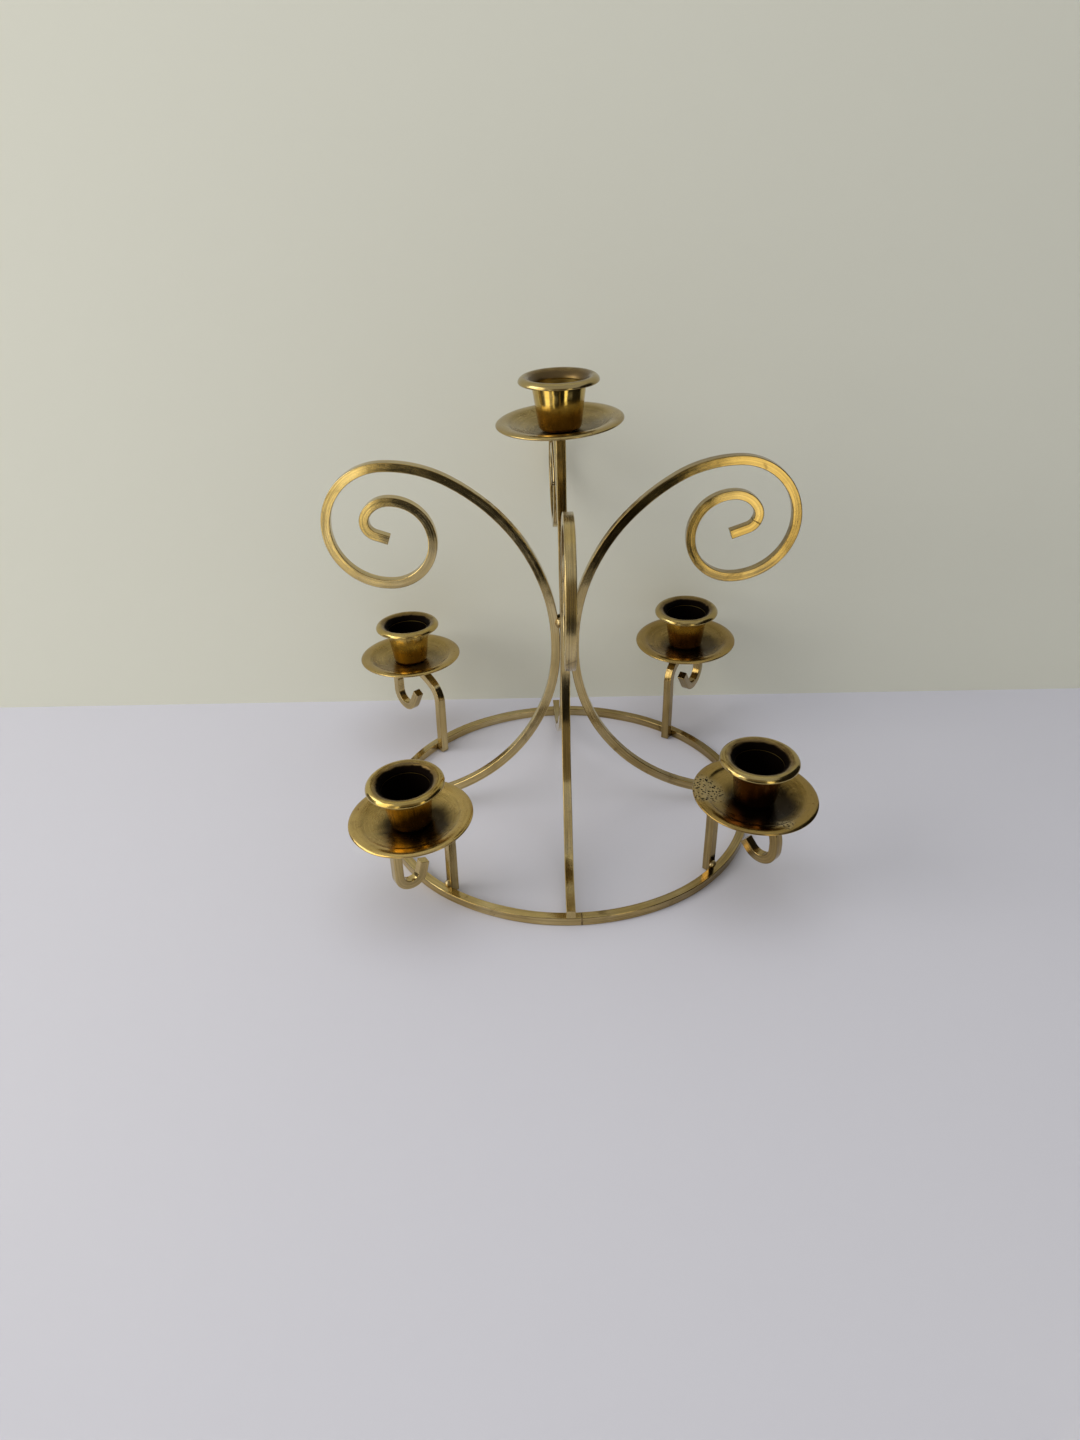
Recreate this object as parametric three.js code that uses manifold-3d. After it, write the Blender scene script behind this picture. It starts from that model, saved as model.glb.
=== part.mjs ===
// Five-light candelabra bent from square brass bar.
// A welded frame stands on a ring: four C-scrolls rise from it to a centre post,
// and four crooks stand between them. The post and each crook carry a drip plate
// and a tapered candle cup, held by one rivet.
// Millimetres, +Z up, origin on the floor under the middle of the ring, front towards -Y.

import * as THREE from 'three';
import { mergeVertices } from 'three/addons/utils/BufferGeometryUtils.js';
import Module from 'manifold-3d';

const wasm = await Module();
wasm.setup();

// Driving dimensions

const bar = 4.75; // side of the square bar
const gap = 0.3; // clearance between pieces that meet
const chordError = 0.1; // how far a straight step may leave the true bend
const coarsestStep = 12; // degrees

const ringRadius = 105; // outside of the base ring
const ringJointAngle = -88; // where the ring's two ends meet
const ringJointWidth = 1.2;

// Each scroll starts with a foot on the ring, sweeps up to the post, runs beside it,
// leaves it, goes over its shoulder, and then curls in, always turning the same way.
const scrollContactLength = 4; // straight run beside the post
const scrollLeavingRadius = 102.5; // bend away from the post
const scrollCurls = [
  { radius: 30.6, turn: 180 },
  { radius: 22.2, turn: 120 },
  { radius: 21, turn: 60 },
  { radius: 13.2, turn: 60 },
  { radius: 7.7, turn: 100 },
];
const scrolls = [
  { name: 'right', azimuth: 0, shoulderRadius: 59.4, tailLength: 9 },
  { name: 'back', azimuth: 91, shoulderRadius: 61, tailLength: 8 },
  { name: 'left', azimuth: 180, shoulderRadius: 64.4, tailLength: 7 },
  { name: 'front', azimuth: 269, shoulderRadius: 61, tailLength: 8 },
];

const postTop = 217.7;
const postBottom = 79;
const postLean = 0.8; // degrees towards -X
const postHoleDepth = 9;
const topCupLean = -0.7; // degrees outwards, measured like the lean of a crook's holder
const topPlate = { out: -1.8, front: 0.8, deeper: 1.6 };

// Each crook stands inside the ring, bends outwards over its crest, comes down and curls back in.
// swing turns its plane away from the radial line and lean tips its cup outwards. A plate may be
// tipped further than its cup, outwards and forwards in degrees, and be dished deeper, in millimetres.
const crookLift = 0.5; // foot above the floor
const kneeRadius = 12;
const kneeTurn = 60;
const evenPlate = { out: 0, front: 0, deeper: 0 };
const tippedPlate = { out: 2.2, front: 0, deeper: 0 };
const crooks = [
  { name: 'front_left', azimuth: -130, swing: -18, lean: 3.9, plate: evenPlate,
    crestHeight: 48.8, backRadius: 25.5, noseRadius: 11.4, dropLength: 15,
    hookRadius: 6.6, hookTurn: 165, tailLength: 6.2 },
  { name: 'front_right', azimuth: -40.8, swing: -8.1, lean: 1.9, plate: tippedPlate,
    crestHeight: 54.4, backRadius: 35, noseRadius: 16, dropLength: 2.9,
    hookRadius: 8.4, hookTurn: 134, tailLength: 5 },
  { name: 'back_right', azimuth: 45.8, swing: 10, lean: -2.5, plate: evenPlate,
    crestHeight: 55, backRadius: 32.3, noseRadius: 20.7, dropLength: 1,
    hookRadius: 9.6, hookTurn: 145, tailLength: 10.9 },
  { name: 'back_left', azimuth: 141, swing: -10.3, lean: 2.2, plate: evenPlate,
    crestHeight: 51.3, backRadius: 41.6, noseRadius: 17.5, dropLength: 6,
    hookRadius: 8.7, hookTurn: 151, tailLength: 10.6 },
];

const plateRadius = 31;
const plateFloor = 9.5; // radius of the flat floor under the cup
const plateWell = 24; // radius where the well ends in a step
const wellRise = 2.9; // edge of the well above the floor
const plateRise = 4.2; // crest of the rounded rim above the floor
const plateLip = 0.9; // how far the rim's edge turns down from its crest
const plateSheet = 1;
const plateSegments = 32;

const cupRim = 18.9; // radius over the turned-out lip
const cupNeck = 12.4; // middle of the wall under the lip
const cupBase = 9.8; // middle of the wall above the rounded base
const cupCorner = 1.6; // rounding between floor and wall
const cupHeight = 24.6;
const cupLip = 4.6; // height of the flared lip
const cupSheet = 1.1;
const cupSegments = 28;

const rivetShank = 1.2;
const rivetHead = 3.2;
const rivetHeadHeight = 1.3;
const rivetTail = 2.1; // radius of the spread end
const rivetTailHeight = 1.2;
const rivetSegments = 12;

const beadLeg = 2.4; // fillet beads at the feet
const postBeadLeg = 3.6; // beads in the corners of the post
const postBeadLength = 5;
const postBeadRise = 12; // middle of a bead above the straight run

// Sizes that follow from them

const half = bar / 2;
const ringInside = ringRadius - bar;
const rivetHole = rivetShank + gap;
const contactRadius = half + gap + half; // a scroll's centre line beside the post
const sweepRadius = ringInside - contactRadius;
const contactBottom = bar + half + sweepRadius;
const contactTop = contactBottom + scrollContactLength;

// Finishes

const barBrass = finish(0x9a8654, 0.32);
const plateBrass = finish(0x8c7740, 0.4);
const cupBrass = finish(0xa07a2c, 0.25);
const rivetBrass = finish(0x7d6a3c, 0.45);
const weldBrass = finish(0xb09a66, 0.5);

function finish(color, roughness) {
  return new THREE.MeshStandardMaterial({ color, roughness, metalness: 1 });
}

function radians(degrees) {
  return THREE.MathUtils.degToRad(degrees);
}

function bendSteps(radius, degrees) {
  const finest = THREE.MathUtils.radToDeg(2 * Math.acos(1 - chordError / Math.abs(radius)));
  return Math.max(2, Math.ceil(Math.abs(degrees) / Math.min(finest, coarsestStep)));
}

// A flat route of straight runs and bends. A bend turns to the right of its heading,
// and a step of the route is a whole straight run, or one of the equal steps of a bend.
class BentRoute extends THREE.Curve {
  constructor(along, up, start, heading, runs) {
    super();
    this.along = along;
    this.up = up;
    this.runs = [];
    this.steps = 0;
    let place = start.clone();
    let angle = radians(heading);
    for (const run of runs) {
      const turn = radians(run.turn ?? 0);
      const steps = turn ? bendSteps(run.radius, run.turn) : 1;
      const piece = { ...run, turn, steps, place, angle, first: this.steps };
      this.runs.push(piece);
      this.steps += steps;
      place = this.placeIn(piece, 1);
      angle -= turn;
    }
  }

  placeIn(piece, share) {
    if (!piece.turn) {
      const reach = piece.length * share;
      return new THREE.Vector2(
        piece.place.x + reach * Math.cos(piece.angle),
        piece.place.y + reach * Math.sin(piece.angle),
      );
    }
    const now = piece.angle - piece.turn * share;
    return new THREE.Vector2(
      piece.place.x + piece.radius * (Math.sin(piece.angle) - Math.sin(now)),
      piece.place.y + piece.radius * (Math.cos(now) - Math.cos(piece.angle)),
    );
  }

  find(t) {
    const step = t * this.steps;
    const piece = this.runs.findLast((run) => run.first <= step) ?? this.runs[0];
    return { piece, share: Math.min(1, (step - piece.first) / piece.steps) };
  }

  getPointAt(t) {
    const { piece, share } = this.find(t);
    const flat = this.placeIn(piece, share);
    return this.along.clone().multiplyScalar(flat.x).addScaledVector(this.up, flat.y);
  }

  getTangentAt(t) {
    const { piece, share } = this.find(t);
    const angle = piece.angle - piece.turn * share;
    return this.along.clone().multiplyScalar(Math.cos(angle)).addScaledVector(this.up, Math.sin(angle));
  }
}

const xAxis = new THREE.Vector3(1, 0, 0);
const yAxis = new THREE.Vector3(0, 1, 0);
const zAxis = new THREE.Vector3(0, 0, 1);

function squareSection(side) {
  const h = side / 2;
  return new THREE.Shape([
    new THREE.Vector2(-h, -h),
    new THREE.Vector2(h, -h),
    new THREE.Vector2(h, h),
    new THREE.Vector2(-h, h),
  ]);
}

function bentBar(route) {
  return new THREE.ExtrudeGeometry(squareSection(bar), { steps: route.steps, extrudePath: route });
}

// Booleans

function toSolid(geometry) {
  const bare = geometry.clone();
  bare.deleteAttribute('normal');
  bare.deleteAttribute('uv');
  const merged = mergeVertices(bare, 1e-4);
  return new wasm.Manifold(new wasm.Mesh({
    numProp: 3,
    vertProperties: new Float32Array(merged.attributes.position.array),
    triVerts: new Uint32Array(merged.index.array),
  }));
}

function toGeometry(solid) {
  const mesh = solid.getMesh();
  const geometry = new THREE.BufferGeometry();
  geometry.setAttribute('position', new THREE.BufferAttribute(mesh.vertProperties, 3));
  geometry.setIndex(new THREE.BufferAttribute(mesh.triVerts, 1));
  return geometry;
}

function drill(geometry, hole) {
  return toGeometry(toSolid(geometry).subtract(toSolid(hole)));
}

// Turned pieces: a profile of [radius, height] pairs, closed on itself or on the axis

function turned(profile, segments) {
  const points = profile.map(([radius, height]) => new THREE.Vector2(radius, height));
  return new THREE.LatheGeometry(points, segments).rotateX(Math.PI / 2);
}

// The outline of a sheet whose middle follows the line: its outside going up, then its inside back.
function sheetOutline(line, sheet) {
  const offset = (side) => line.map(([r, z], i) => {
    const before = line[Math.max(i - 1, 0)];
    const after = line[Math.min(i + 1, line.length - 1)];
    const inward = new THREE.Vector2(r - before[0], z - before[1]).normalize();
    const onward = new THREE.Vector2(after[0] - r, after[1] - z).normalize();
    const along = inward.clone().add(onward).normalize();
    const reference = inward.lengthSq() ? inward : onward;
    const reach = side * sheet / 2 / along.dot(reference);
    return [r + along.y * reach, z - along.x * reach];
  });
  const outside = offset(1);
  const inside = offset(-1).reverse();
  return [...outside, ...inside, outside[0]];
}

// Parts

const group = new THREE.Group();
group.name = 'candelabra';

function addPart(parent, name, geometry, material) {
  const mesh = new THREE.Mesh(geometry, material);
  mesh.name = name;
  parent.add(mesh);
  return mesh;
}

function turnedGroup(parent, azimuth) {
  const turn = new THREE.Group();
  turn.rotation.z = radians(azimuth);
  parent.add(turn);
  return turn;
}

// Base ring: one bar bent round, its ends joined by a weld that is dressed flush

function ringArc(from, to) {
  const radius = ringRadius - half;
  const start = new THREE.Vector2(radius * Math.cos(radians(from)), radius * Math.sin(radians(from)));
  return new BentRoute(xAxis, yAxis, start, from + 90, [{ radius: -radius, turn: from - to }]);
}

function addRing() {
  const middle = ringRadius - half;
  const weldHalf = THREE.MathUtils.radToDeg(ringJointWidth / 2 / middle);
  const slotHalf = THREE.MathUtils.radToDeg((ringJointWidth / 2 + gap) / middle);
  const ring = bentBar(ringArc(ringJointAngle + slotHalf, ringJointAngle + 360 - slotHalf));
  const weld = bentBar(ringArc(ringJointAngle - weldHalf, ringJointAngle + weldHalf));
  addPart(group, 'base_ring', ring, barBrass).position.z = half;
  addPart(group, 'ring_joint_weld', weld, weldBrass).position.z = half;
}

// Scrolls

function scrollRoute(shoulderRadius, tailLength) {
  return new BentRoute(xAxis, zAxis, new THREE.Vector2(ringRadius, bar + half), 180, [
    { length: bar },
    { radius: sweepRadius, turn: 90 },
    { length: scrollContactLength },
    { radius: scrollLeavingRadius, turn: 60 },
    { radius: shoulderRadius, turn: 30 },
    ...scrollCurls,
    { length: tailLength },
  ]);
}

// A fillet bead: its corner at the origin, its legs along +X and +Y, its length along Z
function bead(leg, length) {
  const section = new THREE.Shape([
    new THREE.Vector2(0, 0),
    new THREE.Vector2(leg, 0),
    new THREE.Vector2(leg * 0.8, leg * 0.45),
    new THREE.Vector2(leg * 0.45, leg * 0.8),
    new THREE.Vector2(0, leg),
  ]);
  const geometry = new THREE.ExtrudeGeometry(section, { depth: length, bevelEnabled: false });
  return geometry.translate(0, 0, -length / 2);
}

function addScroll({ name, azimuth, shoulderRadius, tailLength }) {
  const turn = turnedGroup(group, azimuth);
  addPart(turn, `scroll_${name}`, bentBar(scrollRoute(shoulderRadius, tailLength)), barBrass);
  // under the foot, in the corner between the scroll and the inside of the ring
  const weld = addPart(turn, `foot_weld_${name}`, bead(beadLeg, bar), weldBrass);
  weld.rotation.set(-Math.PI / 2, Math.PI, 0);
  weld.position.set(ringInside - gap, 0, bar - gap);
}

// Beads in the corners where neighbouring scrolls meet the post
function addPostWelds() {
  scrolls.forEach((scroll, i) => {
    const next = scrolls[(i + 1) % scrolls.length];
    const nextAzimuth = next.azimuth > scroll.azimuth ? next.azimuth : next.azimuth + 360;
    const turn = turnedGroup(group, (scroll.azimuth + nextAzimuth) / 2 - 45);
    const name = `post_weld_${scroll.name}_${next.name}`;
    const weld = addPart(turn, name, bead(postBeadLeg, postBeadLength), weldBrass);
    weld.position.set(half + gap, half + gap, contactTop + postBeadRise);
  });
}

// Drip plate, candle cup and rivet, on a group whose origin is on top of the bar that carries them

function plateLine(deeper) {
  const floor = plateSheet / 2;
  const well = plateWell - plateFloor;
  const rim = plateRadius - plateWell;
  const wellEdge = floor + wellRise + deeper;
  const rimCrest = floor + plateRise + deeper;
  return [
    [rivetHole, floor],
    [plateFloor, floor],
    [plateFloor + well * 0.5, floor + (wellEdge - floor) * 0.42],
    [plateWell, wellEdge],
    [plateWell + rim * 0.12, rimCrest - plateLip * 0.55],
    [plateWell + rim * 0.5, rimCrest],
    [plateWell + rim * 0.82, rimCrest - plateLip * 0.28],
    [plateRadius, rimCrest - plateLip],
  ];
}

function cupLine() {
  const floor = cupSheet / 2;
  const neck = cupHeight - cupLip;
  const flare = cupRim - cupNeck;
  return [
    [rivetHole, floor],
    [cupBase - cupCorner, floor],
    [cupBase - cupCorner * 0.25, floor + cupCorner * 0.3],
    [cupBase, floor + cupCorner],
    [cupNeck, neck],
    [cupNeck + flare * 0.13, neck + cupLip * 0.44],
    [cupNeck + flare * 0.42, neck + cupLip * 0.84],
    [cupNeck + flare * 0.8, neck + cupLip * 0.98],
    [cupRim, neck + cupLip * 0.88],
  ];
}

// under is how far the shank goes below the top of the bar, and tail the height of its spread end
function rivetProfile(headBase, under, tail) {
  const end = tail ? [
    [0, -under - tail],
    [rivetTail * 0.7, -under - tail],
    [rivetTail, -under - tail * 0.5],
    [rivetTail, -under],
    [rivetShank, -under],
  ] : [
    [0, -under],
    [rivetShank, -under],
  ];
  return [
    ...end,
    [rivetShank, headBase],
    [rivetHead, headBase],
    [rivetHead * 0.85, headBase + rivetHeadHeight * 0.6],
    [rivetHead * 0.45, headBase + rivetHeadHeight],
    [0, headBase + rivetHeadHeight],
  ];
}

// under and tail shape the rivet, and plate says how its drip plate differs.
function addHolder(seat, name, under, tail, plate) {
  const rock = Math.sin(radians(Math.hypot(plate.out, plate.front)));
  const plateBase = gap + half * Math.SQRT2 * rock;
  const cupFoot = plateBase + plateSheet + gap + cupBase * rock;
  const headBase = cupFoot + cupSheet + gap;
  const dish = turned(sheetOutline(plateLine(plate.deeper), plateSheet), plateSegments);
  const cup = turned(sheetOutline(cupLine(), cupSheet), cupSegments);
  const rivet = turned(rivetProfile(headBase, under, tail), rivetSegments);
  const dripPlate = addPart(seat, `drip_plate_${name}`, dish, plateBrass);
  dripPlate.position.z = plateBase;
  dripPlate.rotation.set(radians(plate.front), radians(plate.out), 0);
  addPart(seat, `candle_cup_${name}`, cup, cupBrass).position.z = cupFoot;
  addPart(seat, `cup_rivet_${name}`, rivet, rivetBrass);
}

function rivetBore(length) {
  return new THREE.CylinderGeometry(rivetHole, rivetHole, length, rivetSegments).rotateX(Math.PI / 2);
}

// Centre post, which leans a little between the scrolls

function addPost() {
  const stand = new THREE.Group();
  stand.position.z = contactBottom;
  stand.rotation.y = -radians(postLean);
  group.add(stand);
  const length = postTop - postBottom;
  const post = new THREE.BoxGeometry(bar, bar, length);
  post.translate(0, 0, (postTop + postBottom) / 2 - contactBottom);
  const bore = rivetBore(postHoleDepth * 2);
  bore.translate(0, 0, postTop - contactBottom);
  addPart(stand, 'centre_post', drill(post, bore), barBrass);
  const seat = new THREE.Group();
  seat.position.z = postTop - contactBottom;
  seat.rotation.y = radians(topCupLean);
  stand.add(seat);
  addHolder(seat, 'top', postHoleDepth - gap, 0, topPlate);
}

// Crooks

function addCrook(crook) {
  const { name, azimuth, swing, lean, plate, crestHeight, backRadius, noseRadius } = crook;
  const corner = half * (Math.cos(radians(swing)) + Math.abs(Math.sin(radians(swing))));
  const foot = new THREE.Group();
  const radius = ringInside - gap - corner;
  foot.position.set(radius * Math.cos(radians(azimuth)), radius * Math.sin(radians(azimuth)), 0);
  foot.rotation.z = radians(azimuth + swing);
  group.add(foot);

  const backTurn = 90 - kneeTurn;
  const kneeRise = kneeRadius * Math.sin(radians(kneeTurn));
  const backRise = backRadius * (1 - Math.cos(radians(backTurn)));
  const route = new BentRoute(xAxis, zAxis, new THREE.Vector2(0, crookLift), 90, [
    { length: crestHeight - kneeRise - backRise - crookLift },
    { radius: kneeRadius, turn: kneeTurn },
    { radius: backRadius, turn: backTurn },
    { radius: noseRadius, turn: 90 },
    { length: crook.dropLength },
    { radius: crook.hookRadius, turn: crook.hookTurn },
    { length: crook.tailLength },
  ]);

  // the holder stands square to the bar, at the place on its crest that slopes by the lean
  const kneeReach = kneeRadius * (1 - Math.cos(radians(kneeTurn)));
  const peak = kneeReach + backRadius * Math.sin(radians(backTurn));
  const bend = lean < 0 ? backRadius : noseRadius;
  const seat = new THREE.Group();
  seat.rotation.y = radians(lean);
  seat.position.set(
    peak + (bend + half) * Math.sin(radians(lean)),
    0,
    crestHeight - bend + (bend + half) * Math.cos(radians(lean)),
  );
  foot.add(seat);

  // the rivet's spread end clears the hollow side of the bend
  const inner = Math.min(backRadius, noseRadius) - half;
  const under = bar + gap + rivetTail ** 2 / inner;
  const bore = rivetBore(bar * 4); // long enough to pass through the bend
  seat.updateMatrix();
  bore.applyMatrix4(seat.matrix);
  addPart(foot, `crook_${name}`, drill(bentBar(route), bore), barBrass);
  addHolder(seat, name, under, rivetTailHeight, plate);

  // on the ring, in the corner in front of the crook
  const weld = addPart(foot, `crook_weld_${name}`, bead(beadLeg, bar), weldBrass);
  weld.rotation.x = Math.PI / 2;
  weld.position.set(half + gap, 0, bar + gap);
}

addRing();
scrolls.forEach(addScroll);
addPostWelds();
addPost();
crooks.forEach(addCrook);

export default group;
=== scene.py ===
# A five-light candelabra bent from square brass bar, standing on a pale table.
from math import radians, sin, cos, pi, hypot, sqrt, ceil
import bpy
import bmesh
from mathutils import Matrix, Vector, noise


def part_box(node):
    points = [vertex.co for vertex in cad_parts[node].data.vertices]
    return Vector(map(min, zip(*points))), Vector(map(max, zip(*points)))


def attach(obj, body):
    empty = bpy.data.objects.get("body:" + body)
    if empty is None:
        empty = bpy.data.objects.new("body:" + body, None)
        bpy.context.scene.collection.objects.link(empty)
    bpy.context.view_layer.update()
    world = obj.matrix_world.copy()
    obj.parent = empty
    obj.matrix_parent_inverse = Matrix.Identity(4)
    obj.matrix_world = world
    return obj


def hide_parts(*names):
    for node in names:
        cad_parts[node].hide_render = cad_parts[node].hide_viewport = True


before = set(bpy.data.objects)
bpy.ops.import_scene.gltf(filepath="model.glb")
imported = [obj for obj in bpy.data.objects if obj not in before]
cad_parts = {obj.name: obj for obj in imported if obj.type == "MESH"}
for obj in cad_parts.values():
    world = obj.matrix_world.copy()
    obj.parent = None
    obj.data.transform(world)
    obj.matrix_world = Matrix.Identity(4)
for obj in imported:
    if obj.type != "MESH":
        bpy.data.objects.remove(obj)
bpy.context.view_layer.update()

mm = 0.001
scene = bpy.context.scene
noise.seed_set(3)  # vector noise is seeded from the clock otherwise


# Placing and linking

def turnAbout(axis, degrees):
    return Matrix.Rotation(radians(degrees), 4, axis)


def shift(x, y, z):
    return Matrix.Translation((x, y, z))


def linkMesh(name, bm, material):
    mesh = bpy.data.meshes.new(name)
    bm.to_mesh(mesh)
    bm.free()
    mesh.materials.append(material)
    made = bpy.data.objects.new(name, mesh)
    scene.collection.objects.link(made)
    return made


def finishPiece(name, bm, place, material, node):
    # the mesh is built in millimetres round its own origin, then put in its place in metres
    bmesh.ops.transform(bm, matrix=Matrix.Scale(mm, 4) @ place, verts=bm.verts[:])
    for face in bm.faces:
        face.smooth = True
    piece = linkMesh(name, bm, material)
    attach(piece, "root")
    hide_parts(node)
    return piece


def pieceName(kind, name):
    return kind + "".join(word.capitalize() for word in name.split("_"))


# Node helpers

def setInputs(node, values):
    for key, value in values.items():
        node.inputs[key].default_value = value
    return node


def newNode(tree, kind, values):
    return setInputs(tree.nodes.new(kind), values)


def startMaterial(name):
    material = bpy.data.materials.new(name)
    material.use_nodes = True
    tree = material.node_tree
    return material, tree, tree.nodes["Principled BSDF"]


def mathNode(tree, operation, *values):
    made = tree.nodes.new("ShaderNodeMath")
    made.operation = operation
    for index, value in enumerate(values):
        if isinstance(value, (int, float)):
            made.inputs[index].default_value = value
        else:
            tree.links.new(value, made.inputs[index])
    return made.outputs[0]


def spanNode(tree, source, span, result=(0.0, 1.0)):
    made = newNode(tree, "ShaderNodeMapRange", {"From Min": span[0], "From Max": span[1],
                                                "To Min": result[0], "To Max": result[1]})
    made.interpolation_type = "SMOOTHSTEP"
    tree.links.new(source, made.inputs["Value"])
    return made.outputs[0]


def rampNode(tree, source, stops):
    made = tree.nodes.new("ShaderNodeValToRGB")
    ramp = made.color_ramp
    ramp.elements[0].position, ramp.elements[0].color = stops[0][0], (*stops[0][1], 1)
    ramp.elements[1].position, ramp.elements[1].color = stops[-1][0], (*stops[-1][1], 1)
    for position, colour in stops[1:-1]:
        ramp.elements.new(position).color = (*colour, 1)
    tree.links.new(source, made.inputs[0])
    return made.outputs[0]


def mixColour(tree, share, first, second, blend="MIX"):
    made = tree.nodes.new("ShaderNodeMix")
    made.data_type = "RGBA"
    made.blend_type = blend
    for socket, value in ((made.inputs[0], share), (made.inputs[6], first), (made.inputs[7], second)):
        if isinstance(value, (int, float)):
            socket.default_value = value
        elif isinstance(value, tuple):
            socket.default_value = (*value, 1)
        else:
            tree.links.new(value, socket)
    return made.outputs[2]


def noiseNode(tree, vector, scale, detail, roughness, distortion=0.0, fourth=None):
    made = newNode(tree, "ShaderNodeTexNoise", {"Scale": scale, "Detail": detail, "Roughness": roughness,
                                                "Distortion": distortion})
    tree.links.new(vector, made.inputs["Vector"])
    if fourth is not None:
        made.noise_dimensions = "4D"
        tree.links.new(fourth, made.inputs["W"])
    return made.outputs["Fac"]


def scaledNode(tree, source, scale):
    made = newNode(tree, "ShaderNodeMapping", {"Scale": scale})
    tree.links.new(source, made.inputs["Vector"])
    return made.outputs[0]


def axesNode(tree, source):
    made = tree.nodes.new("ShaderNodeSeparateXYZ")
    tree.links.new(source, made.inputs[0])
    return made.outputs


def awayFrom(tree, source, spot):
    made = tree.nodes.new("ShaderNodeVectorMath")
    made.operation = "DISTANCE"
    tree.links.new(source, made.inputs[0])
    made.inputs[1].default_value = spot
    return made.outputs["Value"]


# A look is a metal's colour, roughness and specks while its material is built up

def tint(tree, look, share, colour, most=1.0):
    if most < 1:
        share = mathNode(tree, "MULTIPLY", share, most)
    look["colour"] = mixColour(tree, share, look["colour"], colour)


def roughen(tree, look, share, amount):
    look["rough"] = mathNode(tree, "MULTIPLY_ADD", share, amount, look["rough"])


# Brass finishes. A colour is what the metal tints a white reflection to, and scales are in waves per mm.

barFinish = {
    "colours": [(0.30, (0.46, 0.335, 0.135)), (0.48, (0.58, 0.44, 0.19)), (0.68, (0.66, 0.53, 0.28))],
    "cloud": 0.028,
    "tarnish": (0.14, 0.085, 0.03),
    "tarnishSpan": (0.58, 0.74),
    "tarnishMost": 0.6,
    "patch": 0.075,
    "speckle": 1.0,
    "speckSpan": (0.735, 0.77),
    "roughness": (0.06, 0.13),
    "streaks": (0.66, 1.16),
    "streakRough": 0.06,
    "bump": 0.13,
    "wave": 0.4,
    "waveScale": 0.045,
    "lacquer": 0.06,
}
plateFinish = {
    "colours": [(0.30, (0.29, 0.205, 0.07)), (0.5, (0.42, 0.32, 0.125)), (0.70, (0.50, 0.39, 0.17))],
    "cloud": 0.045,
    "tarnish": (0.10, 0.06, 0.018),
    "tarnishSpan": (0.58, 0.80),
    "tarnishMost": 0.75,
    "patch": 0.08,
    "speckle": 0.85,
    "speckSpan": (0.72, 0.755),
    "roughness": (0.15, 0.30),
    "streaks": (0.80, 1.14),
    "streakRough": 0.06,
    "bump": 0.14,
    "wave": 0.7,
    "waveScale": 0.05,
    "lacquer": 0.06,
}
cupFinish = {
    "colours": [(0.30, (0.44, 0.29, 0.07)), (0.5, (0.56, 0.40, 0.115)), (0.70, (0.64, 0.49, 0.18))],
    "cloud": 0.05,
    "tarnish": (0.18, 0.085, 0.018),
    "tarnishSpan": (0.62, 0.85),
    "tarnishMost": 0.7,
    "patch": 0.11,
    "speckle": 1.1,
    "speckSpan": (0.745, 0.78),
    "roughness": (0.08, 0.16),
    "streaks": (0.93, 1.05),
    "streakRough": 0.03,
    "bump": 0.08,
    "wave": 0.4,
    "waveScale": 0.07,
    "lacquer": 0.12,
}
weldFinish = {
    "colours": [(0.30, (0.26, 0.17, 0.065)), (0.5, (0.52, 0.41, 0.21)), (0.70, (0.68, 0.58, 0.36))],
    "cloud": 0.35,
    "tarnish": (0.06, 0.035, 0.012),
    "tarnishSpan": (0.54, 0.66),
    "tarnishMost": 0.9,
    "patch": 0.6,
    "speckle": 2.2,
    "speckSpan": (0.70, 0.735),
    "roughness": (0.26, 0.45),
    "streaks": (0.9, 1.05),
    "streakRough": 0.03,
    "bump": 0.4,
    "lacquer": 0.05,
}
scorchedColours = [(0.30, (0.10, 0.06, 0.025)), (0.5, (0.24, 0.17, 0.08)), (0.70, (0.40, 0.31, 0.16))]
jointFinish = {**weldFinish, "colours": scorchedColours}

# what all the finishes have in common: the coat of lacquer, small dark specks, and relief in mm
metal = {
    "coatRough": 0.1,
    "coatIndex": 1.45,
    "speck": (0.04, 0.025, 0.012),
    "speckMost": 0.8,
    "speckRough": 0.2,
    "speckGroups": 0.05,
    "groupSpan": (0.42, 0.62),
    "fewer": 0.06,
    "shadeSpan": (0.28, 0.72),
    "roughSpan": (0.3, 0.75),
    "streakSpan": (0.3, 0.7),
    "drawn": (1.5, 1.5, 0.028),
    "turned": 1.1,
    "grain": 2.2,
    "grainRelief": 0.35,
    "streakRelief": 1.4,
    "speckRelief": -1.6,
    "relief": 0.2,
}


def drawnStreaks(tree):
    # drawing lines run along the bar: fine across it, long along it
    straight = tree.nodes.new("ShaderNodeAttribute")
    straight.attribute_name = "straight"
    stretched = scaledNode(tree, straight.outputs["Vector"], metal["drawn"])
    return noiseNode(tree, stretched, 1.0, detail=4.0, roughness=0.62, distortion=0.15)


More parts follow.
